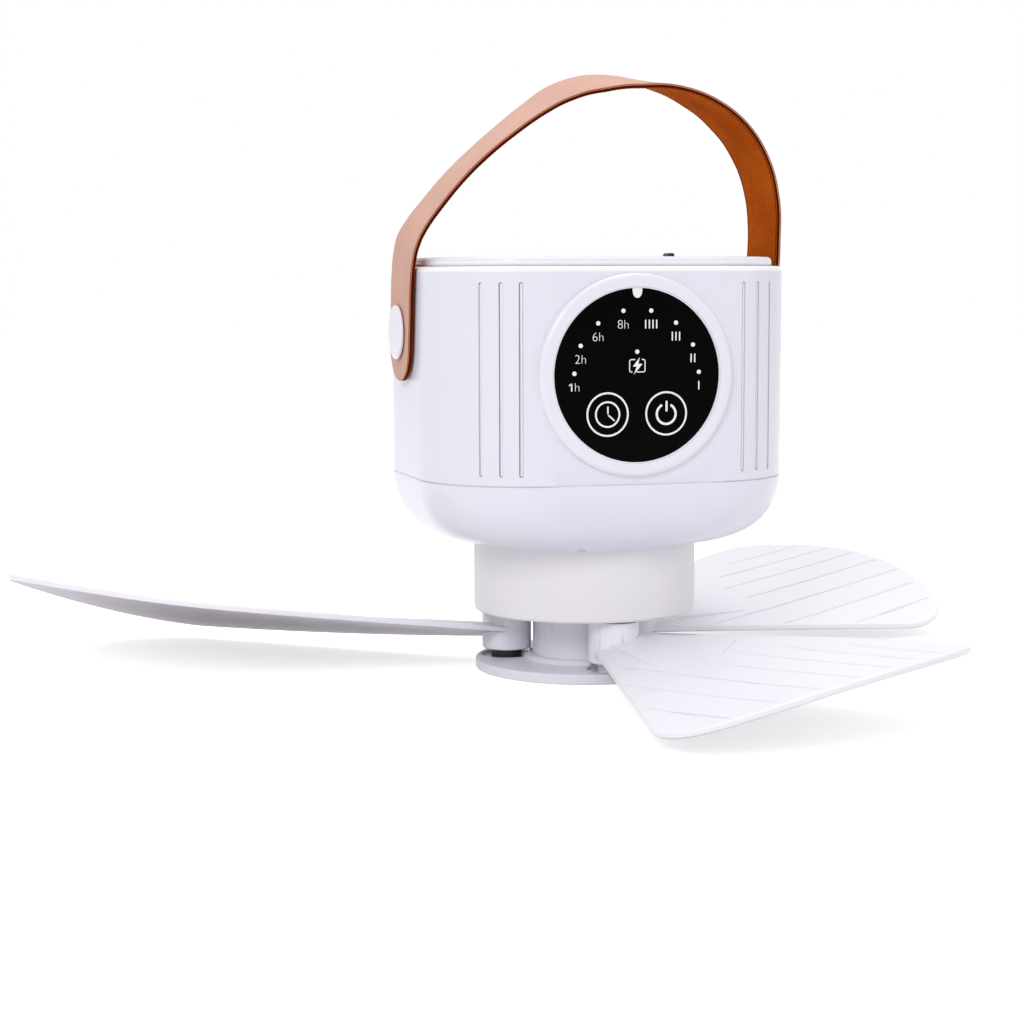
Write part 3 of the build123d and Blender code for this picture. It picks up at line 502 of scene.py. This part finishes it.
# bars that stand in the six grooves, a little below the surface
groove = {
    "positions": (-51.6, -45.7, -39.5, 39.5, 45.7, 51.6),
    "bottom": 74.9,
    "top": 139.1,
    "width": 0.92,
    "sideways": 0.16,
    "depth": 0.8,
    "sunk": 0.22,
    "soft": 0.14,
    "cornerRadius": 38.7,
    "cornerX": 26.9,
    "cornerY": -17.35,
}
bars = []
for position in groove["positions"]:
    deselectAll()
    bpy.ops.mesh.primitive_cylinder_add(vertices=24, radius=groove["width"] / 2 * mm,
                                        depth=groove["depth"] * mm, location=(0, 0, 0),
                                        rotation=(pi / 2, 0, 0))
    bar = newest("grooveBar")
    applyPlace(bar)
    editMode("VERT")
    pickVerts(bar, lambda spot: spot.z > 0.001 * mm)  # the upper half circle
    stretch = groove["top"] - groove["bottom"] - groove["width"]
    bpy.ops.transform.translate(value=(0, 0, stretch * mm))
    objectMode()
    addBevel(bar, groove["soft"], 2, 60)
    applyModifiers(bar)
    side = 1 if position > 0 else -1
    turn = side * asin((abs(position) - groove["cornerX"]) / groove["cornerRadius"])
    reach = groove["cornerRadius"] - groove["sunk"] - groove["depth"] / 2
    barX = side * groove["cornerX"] + reach * sin(turn) + groove["sideways"] * cos(turn)
    barY = groove["cornerY"] - reach * cos(turn) + groove["sideways"] * sin(turn)
    bar.rotation_euler = (0, 0, turn)
    bar.location = (barX * mm, barY * mm, (groove["bottom"] + groove["width"] / 2) * mm)
    applyPlace(bar)
    bars.append(bar)
grooveBars = joinPieces(bars, "grooveBars")
finishPiece(grooveBars, "housing", finish["shell"], 40)
print("groove bars ready")

# caps that hold the strap: a domed disc on a sleeve
cap = {
    "x": 68.68,
    "height": 122.0,
    "radius": 9.5,
    "thickness": 1.35,
    "dome": 0.25,
    "domeStep": 0.17,
    "domeShares": (0.85, 0.7, 0.5, 0.25),
    "round": 0.75,
    "sleeve": 4.0,
    "wallX": 65.6,
}


def strapCap(side, pieceName, nodeName):
    deselectAll()
    bpy.ops.mesh.primitive_cylinder_add(vertices=96, radius=cap["radius"] * mm,
                                        depth=cap["thickness"] * mm, location=(0, 0, 0))
    disc = newest(pieceName)
    editMode("FACE")
    pickFaces(disc, lambda face: face.normal.z > 0.9)
    for share in cap["domeShares"]:
        bpy.ops.mesh.inset(thickness=cap["radius"] * cap["domeStep"] * mm)
        bpy.ops.transform.translate(value=(0, 0, cap["dome"] / len(cap["domeShares"]) * share * mm))
    objectMode()
    addBevel(disc, cap["round"], 5, 50)
    applyModifiers(disc)
    sleeveLength = cap["x"] - cap["wallX"]
    bpy.ops.mesh.primitive_cylinder_add(vertices=48, radius=cap["sleeve"] * mm, depth=sleeveLength * mm,
                                        location=(0, 0, -(cap["thickness"] + sleeveLength) / 2 * mm))
    whole = joinPieces([disc, newest("sleeve")], pieceName)
    applyPlace(whole)
    whole.rotation_euler = (0, side * pi / 2, 0)
    whole.location = (side * (cap["x"] + cap["thickness"] / 2) * mm, 0, cap["height"] * mm)
    applyPlace(whole)
    finishPiece(whole, "housing", finish["cap"], 40)
    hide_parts(nodeName)


strapCap(-1, "leftCap", "cap_left")
strapCap(1, "rightCap", "cap_right")
print("caps ready")

# marks printed on the panel, laid out in X and Y from the panel's centre and then stood up
marks = {
    "panelHeight": 108.25,
    "faceY": -57.35,
    "thickness": 0.04,
    "dotRadius": 0.74,
    "dotSpread": (22.05, 21.25),
    "dotRise": 0.85,
    "labelDrop": 4.5,
    "textHeight": 3.0,
    "fontSize": 1.46,
    "fontOffset": -0.028,
    "barWidth": 0.44,
    "barPitch": 1.3,
    "labels": ("1h", "2h", "6h", "8h", 4, 3, 2, 1),
}
printed = []


def flatDisc(x, y, radius):
    bpy.ops.mesh.primitive_circle_add(vertices=32, radius=radius * mm, fill_type="NGON",
                                      location=(x * mm, y * mm, 0))
    printed.append(newest("dot"))


def flatRing(x, y, radius, line, gapAngle=0.0):
    # a circle of edges, extruded inwards
    bpy.ops.mesh.primitive_circle_add(vertices=96, radius=radius * mm, fill_type="NOTHING",
                                      location=(0, 0, 0))
    ring = newest("ring")
    editMode("EDGE")
    selectMesh()
    bpy.ops.mesh.extrude_edges_move()
    share = (radius - line) / radius
    bpy.ops.transform.resize(value=(share, share, 1), center_override=(0, 0, 0))
    if gapAngle:
        editMode("FACE")
        pickFaces(ring, lambda face: abs(face.center.x) < face.center.y * tan(radians(gapAngle)))
        bpy.ops.mesh.delete(type="FACE")
    objectMode()
    ring.location = (x * mm, y * mm, 0)
    printed.append(ring)


def flatBar(start, end, width):
    run = Vector(end) - Vector(start)
    bpy.ops.mesh.primitive_plane_add(size=1, location=(0, 0, 0))
    bar = newest("bar")
    bar.scale = ((run.length + width) * mm, width * mm, 1)
    applyPlace(bar)
    editMode("VERT")
    selectMesh()
    bpy.ops.mesh.bevel(offset=width * 0.45 * mm, segments=3, affect="VERTICES")
    objectMode()
    middle = (Vector(start) + Vector(end)) / 2
    bar.rotation_euler = (0, 0, -Vector((1, 0)).angle_signed(run))
    bar.location = (middle.x * mm, middle.y * mm, 0)
    printed.append(bar)


def flatText(words, x, y):
    bpy.ops.object.text_add(location=(0, 0, 0))
    label = bpy.context.object
    label.data.body = words
    label.data.align_x = "CENTER"
    label.data.align_y = "CENTER"
    label.data.resolution_u = 6
    label.data.size = marks["textHeight"] * marks["fontSize"] * mm
    label.data.offset = marks["fontOffset"] * marks["textHeight"] * mm
    bpy.ops.object.convert(target="MESH")
    label = newest("label")
    low = min(corner[1] for corner in label.bound_box)
    high = max(corner[1] for corner in label.bound_box)
    label.location = (x * mm, y * mm - (low + high) / 2, 0)
    printed.append(label)


def flatShape(name, corners, grow=1.0):
    bpy.ops.mesh.primitive_circle_add(vertices=len(corners), radius=mm, fill_type="NGON", location=(0, 0, 0))
    shape = newest(name)
    for vert, (x, y) in zip(shape.data.vertices, corners):
        vert.co = (x * grow * mm, y * grow * mm, 0)
    return shape


def standOnPanel(piece, thickness, rise=0.0):
    # faces forward, then thickness, then upright in front of the panel
    activate(piece)
    editMode("FACE")
    selectMesh()
    bpy.ops.mesh.normals_make_consistent(inside=False)
    objectMode()
    if sum(face.normal.z * face.area for face in piece.data.polygons) < 0:
        editMode("FACE")
        selectMesh()
        bpy.ops.mesh.flip_normals()
        objectMode()
    solid = piece.modifiers.new("solid", "SOLIDIFY")
    solid.thickness = thickness * mm
    solid.offset = 1
    applyModifiers(piece)
    piece.rotation_euler = (pi / 2, 0, 0)
    piece.location = (0, marks["faceY"] * mm, (marks["panelHeight"] + rise) * mm)
    applyPlace(piece)


# a one with a flag, which the font draws as a plain stroke
one = {
    "x": -0.95,
    "half": 1.25,
    "line": 0.42,
    "flagX": -1.75,
    "flagDrop": 0.65,
    "flagLine": 0.38,
    "hourX": 0.95,
}


def oneHour(x, y):
    foot, head = y - one["half"], y + one["half"]
    flatBar((x + one["x"], foot), (x + one["x"], head), one["line"])
    flatBar((x + one["x"], head), (x + one["flagX"], head - one["flagDrop"]), one["flagLine"])
    flatText("h", x + one["hourX"], y)


for number, words in enumerate(marks["labels"]):
    turn = pi - pi * number / (len(marks["labels"]) - 1)
    dotX = marks["dotSpread"][0] * cos(turn)
    dotY = marks["dotSpread"][1] * sin(turn) + marks["dotRise"]
    flatDisc(dotX, dotY, marks["dotRadius"])
    labelY = dotY - marks["labelDrop"]
    if words == "1h":
        oneHour(dotX, labelY)
    elif isinstance(words, str):
        flatText(words, dotX, labelY)
    else:
        for bar in range(words):
            barX = dotX + marks["barPitch"] * (bar - (words - 1) / 2)
            half = (marks["textHeight"] - marks["barWidth"]) / 2
            flatBar((barX, labelY - half), (barX, labelY + half), marks["barWidth"])

# timer key: two rings and the hands of a clock
touchKey = {"x": 10.4, "y": -12.95, "radius": 7.45, "line": 0.62}
clock = {
    "radius": 4.45,
    "line": 0.6,
    "handX": 0.1,
    "handY": -0.1,
    "upTo": 2.5,
    "hourTip": (2.3, -2.0),
    "hand": 0.5,
}
keyX, keyY = touchKey["x"], touchKey["y"]
flatRing(-keyX, keyY, touchKey["radius"], touchKey["line"])
flatRing(-keyX, keyY, clock["radius"], clock["line"])
handX = -keyX + clock["handX"]
handY = keyY + clock["handY"]
tipX, tipY = clock["hourTip"]
flatBar((handX, keyY + clock["upTo"]), (handX, handY), clock["hand"])
flatBar((handX, handY), (-keyX + tipX, keyY + tipY), clock["hand"])

# power key: a ring, and an open ring with a bar
power = {
    "drop": 0.2,
    "radius": 3.75,
    "line": 0.78,
    "gap": 27,
    "barX": 0.1,
    "barTop": 3.9,
    "barFoot": 1.0,
    "bar": 0.72,
}
flatRing(keyX, keyY, touchKey["radius"], touchKey["line"])
flatRing(keyX, keyY - power["drop"], power["radius"], power["line"], gapAngle=power["gap"])
powerX = keyX + power["barX"]
flatBar((powerX, keyY + power["barTop"]), (powerX, keyY + power["barFoot"]), power["bar"])

# charge lamp over a battery that a bolt runs through
charge = {
    "lampHeight": 7.9,
    "place": (0.05, 3.2),
    "width": 5.8,
    "height": 4.5,
    "corner": 0.8,
    "line": 0.34,
    "railHeight": 1.7,
    "upperGap": (-0.7, 1.6),
    "lowerGap": (-1.7, -0.2),
    "bolt": ((0.85, 2.8), (-1.6, -0.25), (-0.2, -0.3), (-1.25, -2.95), (1.8, 0.6), (0.35, 0.65)),
}
flatDisc(0.0, charge["lampHeight"], marks["dotRadius"])
bpy.ops.mesh.primitive_plane_add(size=1, location=(0, 0, 0))
battery = newest("battery")
battery.scale = (charge["width"] * mm, charge["height"] * mm, 1)
applyPlace(battery)
editMode("VERT")
selectMesh()
bpy.ops.mesh.bevel(offset=charge["corner"] * mm, segments=5, affect="VERTICES")
bpy.ops.mesh.select_mode(type="FACE")
selectMesh()
bpy.ops.mesh.inset(thickness=charge["line"] * mm)
bpy.ops.mesh.delete(type="FACE")
for cut in sorted(charge["upperGap"] + charge["lowerGap"]):
    selectMesh()
    bpy.ops.mesh.bisect(plane_co=(cut * mm, 0, 0), plane_no=(1, 0, 0))


def inGap(face):
    x, y = face.center.x / mm, face.center.y / mm
    inUpper = y > charge["railHeight"] and charge["upperGap"][0] < x < charge["upperGap"][1]
    inLower = y < -charge["railHeight"] and charge["lowerGap"][0] < x < charge["lowerGap"][1]
    return inUpper or inLower


editMode("FACE")
pickFaces(battery, inGap)
bpy.ops.mesh.delete(type="FACE")
objectMode()
bolt = flatShape("bolt", charge["bolt"])
for piece in (battery, bolt):
    piece.location = (charge["place"][0] * mm, charge["place"][1] * mm, 0)
    printed.append(piece)

panelMarks = joinPieces(printed, "panelMarks")
applyPlace(panelMarks)
standOnPanel(panelMarks, marks["thickness"])
finishPiece(panelMarks, "housing", finish["marks"], 0)

# receiver window: a small shield near the panel's top, on a black ground
receiver = {
    "outline": ((-1.75, 1.6), (-1.68, 0.5), (-1.4, -0.6), (-0.8, -1.4), (0, -1.65),
                (0.8, -1.4), (1.4, -0.6), (1.68, 0.5), (1.75, 1.6), (0, 1.75)),
    "rise": 27.45,
    "thickness": 0.09,
    "groundGrow": 1.7,
    "groundRise": 26.4,
    "groundThickness": 0.015,
}
lensGround = flatShape("lensGround", receiver["outline"], receiver["groundGrow"])
standOnPanel(lensGround, receiver["groundThickness"], receiver["groundRise"])
finishPiece(lensGround, "housing", finish["panel"], 30)
lensFace = flatShape("lensFace", receiver["outline"])
standOnPanel(lensFace, receiver["thickness"], receiver["rise"])
finishPiece(lensFace, "housing", finish["lens"], 30)
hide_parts("receiver_lens")

# the glass runs out to a thin bright ring, a painted highlight on the bezel's inner edge laid over the gap,
# with a black margin inside it
glassEdge = {"radius": 29.56, "line": 0.36, "height": 0.42, "margin": 1.0, "marginHeight": 0.02}


def panelRing(name, radius, line, height, finishName):
    flatRing(0, 0, radius, line)
    ring = printed.pop()
    ring.name = name
    ring.data.name = name
    standOnPanel(ring, height)
    finishPiece(ring, "housing", finish[finishName], 30)


marginRadius = glassEdge["radius"] - glassEdge["line"] / 2
panelRing("panelMargin", marginRadius, glassEdge["margin"], glassEdge["marginHeight"], "panel")
# painted highlight: a thin raised ring in the white cap finish
panelRing("panelRing", glassEdge["radius"], glassEdge["line"], glassEdge["height"], "cap")
print("panel marks ready")

# strap: modelled flat along X with its width along Z, its depth goes down -Y, then bent over the housing
strap = {
    "pivotHeight": 122.0,
    "lean": 8.0,
    "width": 27.3,
    "outer": 0.6,
    "lining": 1.1,
    "tail": 17.0,
    "endRadius": 13.0,
    "outerX": 68.3,
    "legRises": (0, 12, 24, 35),
    "edgeRound": 0.15,
    "cutStep": 2.0,
    "cutsFromSeam": (0.55, 0.0, -0.55, -3.0, -7.0),
    "stitchInset": 0.62,
    "stitchPull": 0.14,
    "stitchPitch": 1.15,
    "stitchSize": (0.78, 0.4, 0.6),
    "stitchSlant": 12.0,
    "stitchStart": 15.0,
}
# share of the half width, height, and how far the leather is twisted there in degrees
strapLine = (
    (-0.992, 148.5, 0.0), (-0.974, 154.3, 0.0), (-0.931, 160.0, -1.4), (-0.856, 167.0, -2.4),
    (-0.729, 177.4, -2.9), (-0.604, 185.7, -3.0), (-0.476, 193.1, -2.0), (-0.340, 200.1, -0.3),
    (-0.188, 206.4, 3.6), (-0.007, 210.0, 5.4), (0.187, 210.8, 2.3), (0.387, 209.1, -4.0),
    (0.579, 204.3, -7.6), (0.753, 196.1, -8.7), (0.888, 184.6, -6.3), (0.968, 171.0, -2.8),
    (0.997, 156.5, 0.0),
)
legHeights = [strap["pivotHeight"] - strap["tail"] + rise for rise in strap["legRises"]]
linePoints = [(-1.0, height, 0.0) for height in legHeights] + list(strapLine)
linePoints += [(1.0, height, 0.0) for height in reversed(legHeights)]

deselectAll()
bpy.ops.curve.primitive_bezier_curve_add(location=(0, 0, 0))
strapCurve = bpy.context.object
strapCurve.name = "strapPath"
strapCurve.data.dimensions = "3D"
strapCurve.data.twist_mode = "Z_UP"
strapCurve.data.resolution_u = 24
spline = strapCurve.data.splines[0]
spline.bezier_points.add(len(linePoints) - 2)
for point, (share, z, twist) in zip(spline.bezier_points, linePoints):
    point.co = (share * strap["outerX"] * mm, (z - strap["pivotHeight"]) * mm, 0)
    point.tilt = radians(twist)
    point.handle_left_type = point.handle_right_type = "AUTO"
strapLength = spline.calc_length()
print("strap path ready, length in mm:", round(strapLength / mm, 1))


def bendOverHousing(piece):
    bend = piece.modifiers.new("bend", "CURVE")
    bend.object = strapCurve
    bend.deform_axis = "POS_X"
    applyModifiers(piece)
    piece.rotation_euler = (radians(90 + strap["lean"]), 0, 0)
    piece.location = (0, 0, strap["pivotHeight"] * mm)
    applyPlace(piece)


def strapLayer(name, inner, depth, faceName, edgeName, pull):
    # a flat strip in the X-Z plane with round ends, cut across so that it can bend
    bpy.ops.mesh.primitive_plane_add(size=1, location=(strapLength / 2, inner * mm, 0),
                                     rotation=(pi / 2, 0, 0))
    piece = newest(name)
    piece.scale = (strapLength, strap["width"] * mm, 1)
    applyPlace(piece)
    editMode("VERT")
    selectMesh()
    bpy.ops.mesh.bevel(offset=strap["endRadius"] * mm, segments=12, affect="VERTICES")
    step = strap["cutStep"] * mm
    cut = step
    while cut < strapLength - step / 2:
        selectMesh()
        bpy.ops.mesh.bisect(plane_co=(cut, 0, 0), plane_no=(1, 0, 0))
        cut += step
    seam = strap["width"] / 2 - strap["stitchInset"]
    for fromSeam in strap["cutsFromSeam"]:
        for side in (-1, 1):
            selectMesh()
            bpy.ops.mesh.bisect(plane_co=(0, 0, side * (seam + fromSeam) * mm), plane_no=(0, 0, 1))
    objectMode()
    thick = piece.modifiers.new("thick", "SOLIDIFY")
    thick.thickness = depth * mm
    thick.offset = -1
    addBevel(piece, strap["edgeRound"], 2, 60)
    applyModifiers(piece)
    # the stitched row is pulled in a little
    seenFace = inner * mm if pull > 0 else (inner + depth) * mm
    editMode("VERT")
    pickVerts(piece, lambda spot: abs(spot.y - seenFace) < 0.01 * mm
              and abs(abs(spot.z) - seam * mm) < 0.05 * mm)
    bpy.ops.transform.translate(value=(0, pull * strap["stitchPull"] * mm, 0))
    objectMode()
    piece.data.materials.append(finish[faceName])
    piece.data.materials.append(finish[edgeName])
    for polygon in piece.data.polygons:
        polygon.material_index = 1 if abs(polygon.normal.y) < 0.3 else 0
    return piece


liningFace = -strap["outer"] - strap["lining"]
outerStrap = strapLayer("strapOuter", -strap["outer"], strap["outer"], "tan", "edge", -1)
liningStrap = strapLayer("strapLining", liningFace, strap["lining"], "suede", "liningEdge", 1)

# thread: one stitch, repeated along both edges of the lining
deselectAll()
bpy.ops.mesh.primitive_uv_sphere_add(segments=8, ring_count=5, radius=0.5 * mm, location=(0, 0, 0))
stitch = newest("stitch")
stitch.scale = strap["stitchSize"]
stitch.rotation_euler = (0, radians(strap["stitchSlant"]), 0)
applyPlace(stitch)
row = stitch.modifiers.new("row", "ARRAY")
row.use_relative_offset = False
row.use_constant_offset = True
row.constant_offset_displace = (strap["stitchPitch"] * mm, 0, 0)
row.count = int((strapLength - 2 * strap["stitchStart"] * mm) / (strap["stitchPitch"] * mm))
applyModifiers(stitch)
rows = []
for side in (-1, 1):
    stitchRow = stitch.copy()
    stitchRow.data = stitch.data.copy()
    bpy.context.scene.collection.objects.link(stitchRow)
    rowZ = side * (strap["width"] / 2 - strap["stitchInset"])
    stitchRow.location = (strap["stitchStart"] * mm, liningFace * mm, rowZ * mm)
    rows.append(stitchRow)
bpy.data.objects.remove(stitch)
strapThread = joinPieces(rows, "strapThread")
applyPlace(strapThread)

for piece in (outerStrap, liningStrap, strapThread):
    bendOverHousing(piece)
finishPiece(outerStrap, "handle", None, 40)
finishPiece(liningStrap, "handle", None, 40)
finishPiece(strapThread, "handle", finish["thread"], 60)
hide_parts("strap_outer")
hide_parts("strap_lining")
bpy.data.objects.remove(strapCurve)
print("strap ready")

# floor, lamps and camera
studio = {
    "floorSize": 6.0,
    "floorColor": (0.84, 0.84, 0.84, 1),
    "floorLift": 0.60,
    "world": 0.62,
    "seenWorld": 1.0,
    "aim": (0, 0, 0.1),
}
# name, place, size and watts
lamps = (
    ("keyLamp", (-0.9, -1.1, 0.9), 0.6, 8.2),
    ("fillLamp", (1.2, -0.8, 0.5), 0.8, 2.1),
    ("topLamp", (0.1, 0.3, 1.4), 1.0, 8.6),
)


def seenDirectly(tree):
    # 1 for what the camera sees, also by way of metal and glass
    rays = addNode(tree, "ShaderNodeLightPath")
    glossy = addNode(tree, "ShaderNodeMath", operation="MAXIMUM")
    tree.links.new(rays.outputs["Is Glossy Ray"], glossy.inputs[0])
    tree.links.new(rays.outputs["Is Transmission Ray"], glossy.inputs[1])
    seen = addNode(tree, "ShaderNodeMath", operation="MAXIMUM")
    tree.links.new(rays.outputs["Is Camera Ray"], seen.inputs[0])
    tree.links.new(glossy.outputs["Value"], seen.inputs[1])
    return seen.outputs["Value"]


deselectAll()
bpy.ops.mesh.primitive_plane_add(size=studio["floorSize"], location=(0, 0, 0))
floor = newest("floor")
floorMaterial, tree, shader = startMaterial("whiteFloor")
shader.inputs["Base Color"].default_value = studio["floorColor"]
shader.inputs["Roughness"].default_value = 0.9
shader.inputs["Specular IOR Level"].default_value = 0.0
shader.inputs["Emission Color"].default_value = (1, 1, 1, 1)
lift = addNode(tree, "ShaderNodeMath", operation="MULTIPLY")
lift.inputs[1].default_value = studio["floorLift"]
tree.links.new(seenDirectly(tree), lift.inputs[0])
tree.links.new(lift.outputs["Value"], shader.inputs["Emission Strength"])
floor.data.materials.append(floorMaterial)

world = bpy.data.worlds.new("studioWorld")
bpy.context.scene.world = world
world.use_nodes = True
tree = world.node_tree
background = tree.nodes["Background"]
background.inputs["Color"].default_value = (1, 1, 1, 1)
brightness = addNode(tree, "ShaderNodeMix", data_type="FLOAT")
tree.links.new(seenDirectly(tree), brightness.inputs[0])
brightness.inputs[2].default_value = studio["world"]
brightness.inputs[3].default_value = studio["seenWorld"]
tree.links.new(brightness.outputs[0], background.inputs["Strength"])

for lampName, place, size, watts in lamps:
    deselectAll()
    bpy.ops.object.light_add(type="AREA", location=place)
    lamp = bpy.context.object
    lamp.name = lampName
    lamp.data.shape = "RECTANGLE"
    lamp.data.size = lamp.data.size_y = size
    lamp.data.energy = watts
    direction = Vector(studio["aim"]) - Vector(place)
    lamp.rotation_euler = direction.to_track_quat("-Z", "Y").to_euler()

view = {"lens": 76.205, "place": (-0.24191, -0.74377, 0.14101), "yaw": 16.1018, "down": 6.1795, "roll": -0.17}
deselectAll()
bpy.ops.object.camera_add(location=view["place"])
camera = bpy.context.object
camera.name = "mainCamera"
turn = Matrix.Rotation(radians(-view["yaw"]), 3, "Z") @ Matrix.Rotation(radians(90 - view["down"]), 3, "X")
camera.rotation_euler = (turn @ Matrix.Rotation(radians(view["roll"]), 3, "Z")).to_euler()
camera.data.sensor_width = 36
camera.data.lens = view["lens"]
camera.data.clip_start = 0.01
bpy.context.scene.camera = camera
bpy.context.scene.view_settings.view_transform = "Standard"
